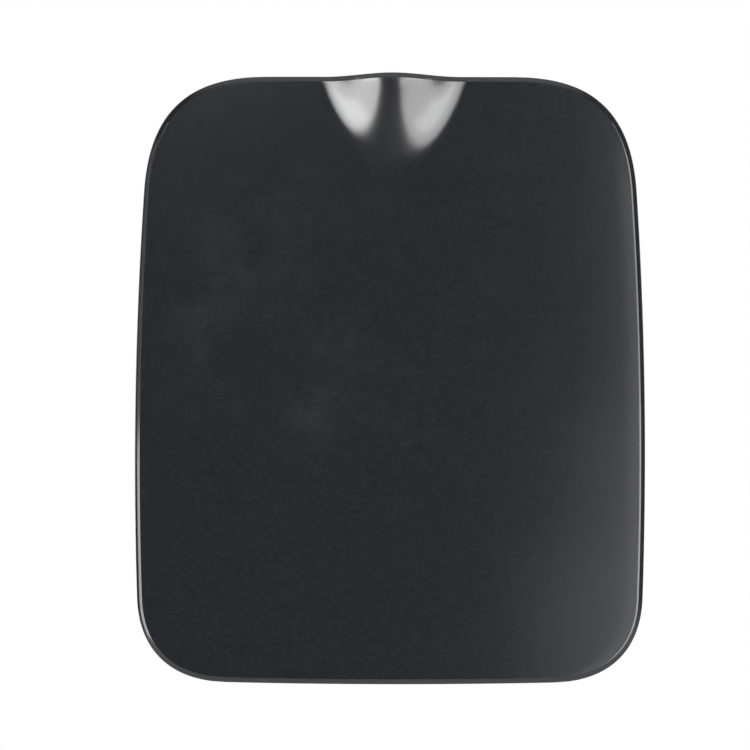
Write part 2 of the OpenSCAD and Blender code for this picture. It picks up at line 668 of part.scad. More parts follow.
blade_front = throat - blade_t;
module detent_spring() {
    reach = half_w - bracket_t - stop_gap;
    tip = cam_flat + stop_gap;
    half = [[0, blade_front], [blade_seat_w / 2, blade_front], [reach - blade_tip_w, tip], [reach, tip]];
    front = concat([for (i = [len(half) - 1:-1:1]) [-half[i].x, half[i].y]], half);
    back = [for (i = [len(front) - 1:-1:0]) front[i] + [0, blade_t]];
    color(shade_steel) difference() {
        translate([0, pin_y, pin_z - blade_h / 2]) linear_extrude(blade_h) polygon(concat(front, back));
        for (side = [-1, 1])
            bore(side * blade_rivet_spacing / 2, pin_y + blade_front - blade_t, pin_z,
                blade_rivet_r + shank_fit, 3 * blade_t);
    }
}

module spring_rivets() {
    color(shade_steel) for (side = [-1, 1]) translate([side * blade_rivet_spacing / 2, 0, pin_z])
        mirror([0, 1, 0]) rivet(0, bracket_t + blade_t, blade_rivet_r, blade_rivet_head_r,
            blade_rivet_head_h, blade_rivet_r, 0);
}

outer_panel();
inner_panel();
mastic_pads();
hinge_leaf();
hinge_screws();
screw_washers();
weld_nuts();
bush(-1);  // bush_left
bush(1);  // bush_right
lock_eye();
lock_eye_rivets();
buffer(buffer_seats[0]);  // buffer_lower_left
buffer(buffer_seats[1]);  // buffer_lower_right
buffer(buffer_seats[2]);  // buffer_upper_left
buffer(buffer_seats[3]);  // buffer_upper_right
hinge_bracket();
hinge_pin();
pin_washer();
pin_clip();
detent_spring();
spring_rivets();
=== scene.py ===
"""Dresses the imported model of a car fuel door: painted sheets, plated hinge parts, rubber and light."""
import logging
import math
from dataclasses import dataclass
from enum import Enum
from typing import Callable, NamedTuple, Sequence, Union

import bpy
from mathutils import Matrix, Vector


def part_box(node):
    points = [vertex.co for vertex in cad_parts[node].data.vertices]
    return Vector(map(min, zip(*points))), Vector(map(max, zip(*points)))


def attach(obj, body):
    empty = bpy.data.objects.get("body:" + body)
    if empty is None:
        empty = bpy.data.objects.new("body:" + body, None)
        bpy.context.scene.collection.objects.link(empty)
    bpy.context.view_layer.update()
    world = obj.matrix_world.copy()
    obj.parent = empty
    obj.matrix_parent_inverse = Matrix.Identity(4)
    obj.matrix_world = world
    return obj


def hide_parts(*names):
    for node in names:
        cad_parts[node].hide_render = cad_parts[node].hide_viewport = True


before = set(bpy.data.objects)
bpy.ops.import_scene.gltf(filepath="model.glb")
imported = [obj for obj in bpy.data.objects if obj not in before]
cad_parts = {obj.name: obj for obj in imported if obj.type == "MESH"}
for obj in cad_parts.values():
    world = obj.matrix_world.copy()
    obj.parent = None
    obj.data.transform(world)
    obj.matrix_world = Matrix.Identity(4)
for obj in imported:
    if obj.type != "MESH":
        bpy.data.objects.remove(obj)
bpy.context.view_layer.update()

LOG = logging.getLogger("fuel_door")
MM = 0.001
DOOR = "door"
BRACKET = "bracket"
BUFFERS = ("buffer_lower_left", "buffer_lower_right", "buffer_upper_left", "buffer_upper_right")
COLUMN_EASE = 0.62
CORNER_EASE = 0.75

Number = Union[int, float]
Colour = tuple[float, float, float]
Plan = tuple[float, float]
Point = tuple[float, float, float]
Span = tuple[float, float]


@dataclass(frozen=True)
class Socket:
    """One output of a shader node; arithmetic on it adds Math nodes."""

    nodes: "Nodes"
    out: bpy.types.NodeSocket

    def _maths(self, operation: str, *values: "Value") -> "Socket":
        """Adds a Math node of one operation."""
        return self.nodes.node("ShaderNodeMath", {"operation": operation}, dict(enumerate(values)))

    def __add__(self, other: "Value") -> "Socket":
        """Adds a value."""
        return self._maths("ADD", self, other)

    def __radd__(self, other: "Value") -> "Socket":
        """Adds to a number on the left."""
        return self._maths("ADD", other, self)

    def __sub__(self, other: "Value") -> "Socket":
        """Takes a value away."""
        return self._maths("SUBTRACT", self, other)

    def __rsub__(self, other: "Value") -> "Socket":
        """Takes this from a number on the left."""
        return self._maths("SUBTRACT", other, self)

    def __mul__(self, other: "Value") -> "Socket":
        """Multiplies by a value."""
        return self._maths("MULTIPLY", self, other)

    def __rmul__(self, other: "Value") -> "Socket":
        """Multiplies a number on the left."""
        return self._maths("MULTIPLY", other, self)


Value = Union[Socket, Number, Colour, Sequence[float]]


class Nodes:
    """The node tree of a material or of the world."""

    def __init__(self, tree: bpy.types.NodeTree, end: str) -> None:
        """Clears the tree and adds its end.

        Args:
            tree: The tree.
            end: Type name of the output node.
        """
        self.tree = tree
        self.tree.nodes.clear()
        self.end = self.tree.nodes.new(end)

    def show(self, surface: Socket) -> None:
        """Sends a surface to the end of the tree."""
        self.tree.links.new(surface.out, self.end.inputs["Surface"])

    def node(
        self,
        kind: str,
        settings: dict[str, object] | None = None,
        inputs: dict[str | int, Value] | None = None,
        output: str | int = 0,
    ) -> Socket:
        """Adds any node.

        Args:
            kind: The node's type name.
            settings: Node properties, set before its sockets; "stops" fills a colour ramp.
            inputs: Values or links by socket name or number.
            output: The output socket to hand back.

        Returns:
            The chosen output.
        """
        made = self.tree.nodes.new(kind)
        for key, value in (settings or {}).items():
            if key == "stops":
                self._fill_ramp(made.color_ramp, value)
            else:
                setattr(made, key, value)
        for key, value in (inputs or {}).items():
            if isinstance(value, Socket):
                self.tree.links.new(value.out, made.inputs[key])
            else:
                made.inputs[key].default_value = value
        return Socket(self, made.outputs[output])

    @staticmethod
    def _fill_ramp(ramp: bpy.types.ColorRamp, stops: Sequence[tuple[float, float]]) -> None:
        """Sets a ramp's stops as (position, grey)."""
        for element, (position, grey) in zip(ramp.elements, stops):
            element.position = position
            element.color = (grey, grey, grey, 1)


class Shader(Nodes):
    """A material under construction, with one Principled surface."""

    def __init__(self, name: str, plain: dict[str, Value]) -> None:
        """Starts a material.

        Args:
            name: The material's name.
            plain: Values set on the surface's own sockets.
        """
        self.material = bpy.data.materials.new(name)
        self.material.use_nodes = True
        super().__init__(self.material.node_tree, "ShaderNodeOutputMaterial")
        self.surface = self.node("ShaderNodeBsdfPrincipled", inputs=plain)
        self.show(self.surface)
        self.place = self.node("ShaderNodeTexCoord", output="Object")

    def noise(
        self, size: float, detail: float = 2.0, stretch: Point = (1, 1, 1), shift: Point = (0, 0, 0)
    ) -> Socket:
        """Noise over the piece.

        Args:
            size: Width of one patch, in metres.
            detail: Octaves of finer noise.
            stretch: Scale along each axis, which draws the noise out.
            shift: Added to the place, which moves the patches the other way.

        Returns:
            A value around one half.
        """
        where = self.node(
            "ShaderNodeMapping", inputs={"Vector": self.place, "Scale": stretch, "Location": shift}
        )
        return self.node("ShaderNodeTexNoise", inputs={"Vector": where, "Scale": 1 / size, "Detail": detail})

    def cells(self, size: float, output: str = "Distance") -> Socket:
        """Voronoi cells of a width in metres."""
        return self.node(
            "ShaderNodeTexVoronoi", inputs={"Vector": self.place, "Scale": 1 / size}, output=output
        )

    def mask(self, value: Socket, low: float, high: float) -> Socket:
        """Stretches the part of a value between low and high over 0 to 1."""
        return self.node("ShaderNodeValToRGB", {"stops": ((low, 0), (high, 1))}, {"Fac": value})

    def tint(self, share: Socket, first: Colour | Socket, second: Colour) -> Socket:
        """Mixes towards a colour by a share.

        Args:
            share: Share of the second colour.
            first: Colour or link at share 0.
            second: Colour at share 1.

        Returns:
            The mixed colour.
        """
        near = first if isinstance(first, Socket) else (*first, 1)
        return self.node(
            "ShaderNodeMix", {"data_type": "RGBA"}, {"Factor": share, 6: near, 7: (*second, 1)}, output=2
        )

    def feed(self, socket: str, value: Socket) -> None:
        """Links a varying value to the surface."""
        self.tree.links.new(value.out, self.surface.out.node.inputs[socket])

    def bump(self, height: Socket, depth: float) -> None:
        """Roughs the surface by a height over a depth in metres."""
        self.feed("Normal", self.node("ShaderNodeBump", inputs={"Height": height, "Distance": depth}))


@dataclass(frozen=True)
class Primer:
    """Satin black primer on pressed sheet: fine grain, faint dust smudges and pin specks."""

    name: str = "satin_black_primer"
    base: Colour = (0.0096, 0.0101, 0.0123)
    dust: Colour = (0.0190, 0.0208, 0.0242)
    speck: Colour = (0.034, 0.035, 0.038)
    ior: float = 1.85
    rough: float = 0.13
    rough_swing: float = 0.05
    rough_smudge: float = 0.6
    grain: float = 0.0006
    grain_depth: float = 0.0000016
    wave: float = 0.011
    wave_depth: float = 0.000006
    powder: float = 0.0014
    powder_cut: Span = (0.4, 0.6)
    powder_share: float = 0.3
    smudge: float = 0.045
    smudge_cut: Span = (0.42, 0.70)
    smudge_shift: Point = (-0.010, 0, 0.040)
    smudge_middle: Point = (-0.022, -0.028, 0.070)
    smudge_reach: Span = (0.011, 0.055)
    smudge_far: float = 0.15
    streak: float = 0.01125
    streak_cut: Span = (0.36, 0.72)
    speck_gap: float = 0.0075
    speck_cut: Span = (0.02, 0.045)
    speck_patch: float = 0.02
    speck_patch_cut: Span = (0.58, 0.64)

    def build(self) -> bpy.types.Material:
        """Makes the material.

        Returns:
            The primer.
        """
        shader = Shader(self.name, {"IOR": self.ior})
        ends = {0: shader.place, 1: self.smudge_middle}
        away = shader.node("ShaderNodeVectorMath", {"operation": "DISTANCE"}, ends, "Value")
        near = 1 - shader.mask(away, *self.smudge_reach)
        smudge = shader.mask(shader.noise(self.smudge, 5, shift=self.smudge_shift), *self.smudge_cut)
        smudge = smudge * (self.smudge_far + (1 - self.smudge_far) * near)
        streak = shader.mask(shader.noise(self.streak, 4, shift=self.smudge_shift), *self.streak_cut)
        powder = shader.mask(shader.noise(self.powder, 3), *self.powder_cut)
        dusty = shader.tint(smudge * streak + powder * self.powder_share, self.base, self.dust)
        pin = 1 - shader.mask(shader.cells(self.speck_gap), *self.speck_cut)
        rare = shader.mask(shader.noise(self.speck_patch, 1), *self.speck_patch_cut)
        shader.feed("Base Color", shader.tint(pin * rare, dusty, self.speck))
        grain = shader.noise(self.grain, 3)
        cloud = shader.noise(self.wave, 2)
        gloss = smudge * self.rough_smudge + cloud * (1 - self.rough_smudge)
        shader.feed("Roughness", self.rough + self.rough_swing * gloss)
        shader.bump(grain * (self.grain_depth / self.wave_depth) + cloud, self.wave_depth)
        return shader.material


@dataclass(frozen=True)
class Plate:
    """Bare or plated steel: drawn grain, clouded gloss and darker stains."""

    name: str
    base: Colour
    stain: Colour
    rough: float
    drawn: float = 0.0012
    drawn_stretch: Point = (1, 1, 12)
    drawn_depth: float = 0.000004
    drawn_rough: float = 0.05
    cloud: float = 0.012
    cloud_rough: float = 0.14
    spangle: float = 0.0014
    spangle_share: float = 0.15
    spangle_gloss: float = 0.04
    stain_cut: Span = (0.32, 0.68)

    def build(self) -> bpy.types.Material:
        """Makes the material.

        Returns:
            The plated steel.
        """
        shader = Shader(self.name, {"Metallic": 1.0})
        drawn = shader.noise(self.drawn, 3, self.drawn_stretch)
        cloud = shader.noise(self.cloud, 4)
        spangle = shader.cells(self.spangle, "Color")
        flake = shader.node("ShaderNodeSeparateColor", inputs={"Color": spangle}, output="Red")
        patch = cloud * (1 - self.spangle_share) + flake * self.spangle_share
        shader.feed("Base Color", shader.tint(shader.mask(patch, *self.stain_cut), self.stain, self.base))
        rough = self.rough + self.cloud_rough * cloud + self.drawn_rough * drawn
        shader.feed("Roughness", rough - self.spangle_gloss * flake)
        shader.bump(drawn, self.drawn_depth)
        return shader.material


@dataclass(frozen=True)
class Moulding:
    """Moulded rubber or plastic: a matt skin with a fine grain and soft wear."""

    name: str
    base: Colour
    worn: Colour
    rough: float
    grain: float = 0.0005
    grain_depth: float = 0.00001
    patch: float = 0.006
    patch_rough: float = 0.12
    worn_cut: Span = (0.4, 0.75)

    def build(self) -> bpy.types.Material:
        """Makes the material.

        Returns:
            The moulded skin.
        """
        shader = Shader(self.name, {})
        patch = shader.noise(self.patch, 4)
        fine = shader.noise(self.grain, 3)
        shader.feed("Base Color", shader.tint(shader.mask(patch, *self.worn_cut), self.base, self.worn))
        shader.feed("Roughness", self.rough + self.patch_rough * patch)
        shader.bump(fine, self.grain_depth)
        return shader.material


class Finish(Enum):
    """The finishes of the door's pieces, each with the record's slot that it belongs to."""

    PRIMER = (Primer(), "primed_steel")
    INNER_PRIMER = (Primer("dull_black_primer", rough=0.36, rough_swing=0.1), "primed_steel")
    ZINC = (Plate("zinc_plated_sheet", (0.62, 0.62, 0.60), (0.50, 0.505, 0.49), 0.27), "zinc_plate")
    STEEL = (Plate("plated_fastener_steel", (0.50, 0.50, 0.50), (0.33, 0.33, 0.34), 0.20), "screw_steel")
    SPRING = (Plate("blued_spring_steel", (0.13, 0.14, 0.16), (0.06, 0.065, 0.08), 0.24), "spring_steel")
    RUBBER = (Moulding("buffer_rubber", (0.012, 0.012, 0.013), (0.028, 0.028, 0.029), 0.62), "buffer_rubber")
    NYLON = (Moulding("bush_nylon", (0.66, 0.64, 0.56), (0.52, 0.49, 0.41), 0.38), "bush_plastic")
    MASTIC = (
        Moulding("dull_mastic", (0.030, 0.030, 0.030), (0.06, 0.058, 0.055), 0.78, 0.001, 0.00006),
        "mastic",
    )

    @property
    def slot(self) -> str:
        """The record's material slot."""
        return self.value[1]


class Paintbox:
    """Builds each finish once and puts it on pieces."""

    def __init__(self) -> None:
        """Starts with nothing mixed."""
        self._made: dict[Finish, bpy.types.Material] = {}

    def dress(self, piece: bpy.types.Object, finish: Finish) -> None:
        """Gives a piece its finish.

        Args:
            piece: The mesh object.
            finish: Which finish it takes.
        """
        if finish not in self._made:
            self._made[finish] = finish.value[0].build()
        piece.data.materials.clear()
        piece.data.materials.append(self._made[finish])

    def stand_in(self, piece: bpy.types.Object, node: str, body: str, finish: Finish) -> bpy.types.Object:
        """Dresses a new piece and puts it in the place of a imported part.

        Args:
            piece: The new piece.
            node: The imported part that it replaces.
            body: The body that it moves with.
            finish: Which finish it takes.

        Returns:
            The piece.
        """
        self.dress(piece, finish)
        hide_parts(node)
        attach(piece, body)
        finish.slot
        return piece


def deselect() -> None:
    """Leaves edit mode and selects nothing."""
    if bpy.context.object and bpy.context.object.mode != "OBJECT":
        bpy.ops.object.mode_set(mode="OBJECT")
    bpy.ops.object.select_all(action="DESELECT")


def take(piece: bpy.types.Object) -> None:
    """Makes a piece the only selected and active one."""
    deselect()
    piece.select_set(True)
    bpy.context.view_layer.objects.active = piece


def settle(piece: bpy.types.Object) -> None:
    """Moves a piece's place and turn into its mesh."""
    take(piece)
    bpy.ops.object.transform_apply(location=True, rotation=True, scale=True)


def modify(piece: bpy.types.Object, kind: str, **settings: object) -> None:
    """Adds a modifier with its settings and applies it.

    Args:
        piece: The piece to change.
        kind: The modifier's type.
        settings: Its properties.
    """
    take(piece)
    modifier = piece.modifiers.new(kind.lower(), kind)
    for key, value in settings.items():
        setattr(modifier, key, value)
    bpy.ops.object.modifier_apply(modifier=modifier.name)


def smooth(piece: bpy.types.Object, degrees: float = 35) -> None:
    """Shades a piece smooth up to an angle between faces."""
    take(piece)
    bpy.ops.object.shade_smooth_by_angle(angle=math.radians(degrees))


def break_edges(piece: bpy.types.Object, width: float, steps: int, degrees: float) -> None:
    """Rounds the edges of a piece over, then shades it smooth.

    Args:
        piece: The piece to change.
        width: Width of the rounding, in millimetres.
        steps: Faces across it.
        degrees: Smallest angle between faces that counts as an edge.
    """
    angle = math.radians(degrees)
    modify(piece, "BEVEL", width=width * MM, segments=steps, limit_method="ANGLE", angle_limit=angle)
    smooth(piece)


class Hole(NamedTuple):
    """A round hole along Y, in millimetres in the row frame."""

    x: float
    y: float
    z: float
    radius: float
    sides: int


def punch(piece: bpy.types.Object, holes: Sequence[Hole], length: float) -> None:
    """Cuts round holes through a sheet.

    Args:
        piece: The sheet.
        holes: The holes.
        length: Length of the cutters, in millimetres.
    """
    cutters = []
    for hole in holes:
        deselect()
        bpy.ops.mesh.primitive_cylinder_add(
            vertices=hole.sides,
            radius=hole.radius * MM,
            depth=length * MM,
            location=(hole.x * MM, hole.y * MM, hole.z * MM),
            rotation=(math.pi / 2, 0, 0),
        )
        cutters.append(bpy.context.object)
    take(cutters[0])
    for cutter in cutters:
        cutter.select_set(True)
    bpy.ops.object.join()
    settle(cutters[0])
    modify(piece, "BOOLEAN", operation="DIFFERENCE", solver="EXACT", object=cutters[0])
    bpy.data.objects.remove(cutters[0])


def ease(value: float) -> float:
    """Smooth step from 0 to 1."""
    share = max(0.0, min(1.0, value))
    return share * share * (3 - 2 * share)


def mix(first: float, second: float, share: float) -> float:
    """Straight mix of two numbers."""
    return first + (second - first) * share


def bezier(a: Plan, knee: Plan, b: Plan, fullness: float, t: float) -> Plan:
    """Point on a corner curve.

    Args:
        a: Start of the corner.
        knee: Where the two edges would meet.
        b: End of the corner.
        fullness: How far the handles reach towards the knee.
        t: Share of the way along.

    Returns:
        The point.
    """
    s = 1 - t
    return tuple(
        s**3 * a[i]
        + 3 * s * s * t * mix(a[i], knee[i], fullness)
        + 3 * s * t * t * mix(b[i], knee[i], fullness)
        + t**3 * b[i]
        for i in (0, 1)
    )


@dataclass(frozen=True)
class DoorShape:
    """The door's outline, crown and scoop, in millimetres; z counts from the bottom edge."""

    low: Vector
    high: Vector
    lip_rise: float = 1.6
    lip_w: float = 41.0
    waist_z: float = 64.0
    side_bow_r: float = 1210.0
    bottom_bow_r: float = 2290.0
    top_corner: float = 33.0
    bottom_corner: float = 24.6
    top_fullness: float = 0.69
    bottom_fullness: float = 0.64
    scoop_x: float = 0.6
    crown_r_x: float = 950.0
    crown_r_z: float = 1500.0
    scoop_w: float = 43.8
    scoop_power: float = 2.3
    scoop_h: float = 28.0
    scoop_depth: float = 5.5
    scoop_taper: float = 1.1
    scoop_swell: float = 1.95
    scoop_roll: float = 1.4
    scoop_brim: float = 1.2
    skin_t: float = 0.8
    hem_r: float = 1.3
    hem_flange: float = 7.0

    @property
    def width(self) -> float:
        """Full width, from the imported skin's box."""
        return (self.high.x - self.low.x) / MM

    @property
    def height(self) -> float:
        """Height between the plain edges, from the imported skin's box."""
        return (self.high.z - self.low.z) / MM - self.lip_rise

    @property
    def base_z(self) -> float:
        """Height of the bottom edge in the row frame."""
        return self.low.z / MM

    @property
    def apex_y(self) -> float:
        """Depth of the front of the crown in the row frame."""
        return self.low.y / MM

    def side_x(self, z: float) -> float:
        """Half width at a height."""
        return self.width / 2 - (z - self.waist_z) ** 2 / (2 * self.side_bow_r)

    def side_lean(self, z: float) -> float:
        """Lean of the side at a height."""
        return -(z - self.waist_z) / self.side_bow_r

    def bottom_edge(self, x: float) -> float:
        """Height of the bottom edge."""
        return x * x / (2 * self.bottom_bow_r)

    def top_edge(self, x: float) -> float:
        """Height of the top edge, with the lip over the scoop.

        Args:
            x: Distance right of the middle.

        Returns:
            The height, in millimetres.
        """
        away = x - self.scoop_x
        if abs(away) >= self.lip_w / 2:
            return self.height
        return self.height + self.lip_rise * (1 + math.cos(2 * math.pi * away / self.lip_w)) / 2

    def right_side(self, rows: Sequence[int]) -> list[Plan]:
        """Points up the right side, from the bottom corner to the top one.

        Args:
            rows: Steps round the bottom corner, up the side and round the top corner.

        Returns:
            Plan points.
        """
        start = (self.side_x(self.bottom_corner), self.bottom_corner)
        knee_x = start[0] - self.side_lean(self.bottom_corner) * self.bottom_corner
        end_x = knee_x - self.bottom_corner
        end = (end_x, self.bottom_edge(end_x))
        knee = (knee_x, end[1] + end_x / self.bottom_bow_r * self.bottom_corner)
        top_z = self.height - self.top_corner
        top_start = (self.side_x(top_z), top_z)
        top_knee = (top_start[0] + self.side_lean(top_z) * self.top_corner, self.height)
        top_end = (top_knee[0] - self.top_corner, self.height)
        low, side, high = rows
        shares = [(i / low) ** CORNER_EASE for i in range(low + 1)]
        points = [bezier(end, knee, start, self.bottom_fullness, share) for share in shares]
        levels = [mix(start[1], top_z, i / side) for i in range(1, side + 1)]
        points += [(self.side_x(z), z) for z in levels]
        for i in range(1, high + 1):
            share = 1 - (1 - i / high) ** CORNER_EASE
            points.append(bezier(top_start, top_knee, top_end, self.top_fullness, share))
        return points

    def outline(self, cols: int, rows: Sequence[int]) -> list[Plan]:
        """The closed outline, anticlockwise from the bottom left.

        Args:
            cols: Steps along the bottom and along the top.
            rows: Steps up each side, as for right_side.

        Returns:
            Plan points, two runs of cols and two of rows.
        """
        right = self.right_side(rows)
        last = len(right) - 1
        bottom = [column(c, cols) * right[0][0] for c in range(cols)]
        top = [column(c, cols) * right[-1][0] for c in range(cols, 0, -1)]
        points = [(x, self.bottom_edge(x)) for x in bottom]
        points += right[:last]
        points += [(x, self.top_edge(x)) for x in top]
        points += [(-right[r][0], right[r][1]) for r in range(last, 0, -1)]
        return points

    def crown(self, x: float, z: float) -> float:
        """Fall of the face behind its front point.

        Args:
            x: Distance right of the middle.
            z: Height.

        Returns:
            The fall, in millimetres.
        """
        middle = self.height / 2
        across = self.crown_r_x - math.sqrt(self.crown_r_x**2 - x * x)
        along = self.crown_r_z - math.sqrt(self.crown_r_z**2 - (z - middle) ** 2)
        return across + along

    def scoop(self, x: float, z: float) -> float:
        """Depth of the finger scoop under the crown.

        Args:
            x: Distance right of the middle.
            z: Height.

        Returns:
            The depth, in millimetres.
        """
        under = self.height - z
        foot = ((under + math.hypot(under, self.scoop_brim)) / 2 / self.scoop_h) ** self.scoop_taper
        inside = 1 - abs(2 * (x - self.scoop_x) / self.scoop_w) ** self.scoop_power - foot
        roll = 4 * self.scoop_roll / self.scoop_w
        return self.scoop_depth * ((inside + math.hypot(inside, roll)) / 2) ** self.scoop_swell

    def on_face(self, plan: Plan, depth: float) -> Point:
        """Row-frame point a depth behind the face, in metres."""
        x, z = plan
        y = self.apex_y + self.crown(x, z) + self.scoop(x, z) + depth
        return (x * MM, y * MM, (self.base_z + z) * MM)


def column(c: int, cols: int) -> float:
    """Place of a column from -1 to 1, closer together in the middle."""
    t = 2 * c / cols - 1
    return t * (COLUMN_EASE + (1 - COLUMN_EASE) * t * t)


def inset(edge: Sequence[Plan], by: float | Sequence[float]) -> list[Plan]:
    """Moves a closed outline inwards along its normals.

    Args:
        edge: The outline, anticlockwise.
        by: Distance in millimetres, or one for each point.

    Returns:
        The moved points.
    """
    moved = []
    count = len(edge)
    far = [by] * count if isinstance(by, (int, float)) else by
    for k in range(count):
        after, before = edge[(k + 1) % count], edge[k - 1]
        dx, dz = after[0] - before[0], after[1] - before[1]
        length = math.hypot(dx, dz)
        moved.append((edge[k][0] - far[k] * dz / length, edge[k][1] + far[k] * dx / length))
    return moved


@dataclass
class SheetGrid:
    """A grid laid inside an outline, whose border is the outline itself."""

    edge: list[Plan]
    cols: int
    rows: int
    bottom_fade: float = 40.0
    top_fade: float = 25.0

    def point(self, c: int, r: int) -> Plan:
        """Plan point of a column and a row.

        Args:
            c: Column, from the left.
            r: Row, from the bottom.

        Returns:
            The point.
        """
        count = len(self.edge)
        right = self.edge[self.cols + r]
        left = self.edge[(count - r) % count]
        bottom = self.edge[c]
        top = self.edge[2 * self.cols + self.rows - c]
        if r == 0:
            return bottom
        if r == self.rows:
            return top
        if c == 0:
            return left
        if c == self.cols:
            return right
        low, high = self.edge[self.cols][1], self.edge[self.cols + self.rows][1]
        sag = (bottom[1] - low) * ease(1 - (right[1] - low) / self.bottom_fade)
        rise = (top[1] - high) * ease(1 - (high - right[1]) / self.top_fade)
        share = (column(c, self.cols) + 1) / 2
        top_left, top_right = self.edge[2 * self.cols + self.rows], self.edge[self.cols + self.rows]
        slide = top[0] - mix(top_left[0], top_right[0], share)
        x = mix(left[0], right[0], share) + slide * ease(1 - (high - right[1]) / self.top_fade)
        return (x, right[1] + sag + rise)

    def margin(self, c: int, r: int) -> float:
        """Distance of a grid point from the border, along its row or column.

        Args:
            c: Column.
            r: Row.

        Returns:
            The smallest of the four distances, in millimetres.
        """
        x, z = self.point(c, r)
        right = self.edge[self.cols + r][0]
        top = self.edge[2 * self.cols + self.rows - c][1]
        return min(right - abs(x), z - self.edge[c][1], top - z)

    def border(self) -> list[tuple[int, int]]:
        """Column and row of each border point, in the outline's order.

        Returns:
            The grid places.
        """
        cols, rows = self.cols, self.rows
        return (
            [(c, 0) for c in range(cols)]
            + [(cols, r) for r in range(rows)]
            + [(c, rows) for c in range(cols, 0, -1)]
            + [(0, r) for r in range(rows, 0, -1)]
        )

    def lay(self, name: str, place: Callable[[int, int], Point]) -> tuple[bpy.types.Object, list[int]]:
        """Adds a grid primitive and lays its points.

        Args:
            name: Name of the new piece.
            place: Gives the point of a column and a row, in metres.

        Returns:
            The piece, and its border's vertex numbers in the outline's order.
        """
        deselect()
        bpy.ops.mesh.primitive_grid_add(x_subdivisions=self.cols, y_subdivisions=self.rows, size=2)
        piece = bpy.context.object
        piece.name = name
        piece.data.name = name
        number = {}
        for vertex in piece.data.vertices:
            c = round((vertex.co.x + 1) / 2 * self.cols)
            r = round((vertex.co.y + 1) / 2 * self.rows)
            number[c, r] = vertex.index
            vertex.co = place(c, r)
        return piece, [number[at] for at in self.border()]


def extrude_ring(piece: bpy.types.Object, ring: Sequence[int], places: Sequence[Point]) -> list[int]:
    """Extrudes a closed ring of border edges and moves each new point to its place.

    Args:
        piece: The sheet.
        ring: Vertex numbers of the border, in order.
        places: Where each new point goes, in the same order.

    Returns:
        Vertex numbers of the new border.
    """
    take(piece)
    mesh = piece.data
    chosen = set(ring)
    for vertex in mesh.vertices:
        vertex.select = vertex.index in chosen
    step = {ring[k - 1]: ring[k] for k in range(len(ring))}
    for edge in mesh.edges:
        a, b = edge.vertices
        edge.select = step.get(a) == b or step.get(b) == a
    for polygon in mesh.polygons:
        polygon.select = False
    old = {tuple(mesh.vertices[v].co): k for k, v in enumerate(ring)}
    count = len(mesh.vertices)
    bpy.ops.object.mode_set(mode="EDIT")
    bpy.ops.mesh.select_mode(use_extend=False, use_expand=False, type="EDGE")
    bpy.ops.mesh.extrude_edges_move()
    bpy.ops.object.mode_set(mode="OBJECT")
    made = [0] * len(ring)
    for vertex in mesh.vertices[count:]:
        k = old[tuple(vertex.co)]
        made[k] = vertex.index
    for k, number in enumerate(made):
        mesh.vertices[number].co = places[k]
    return made


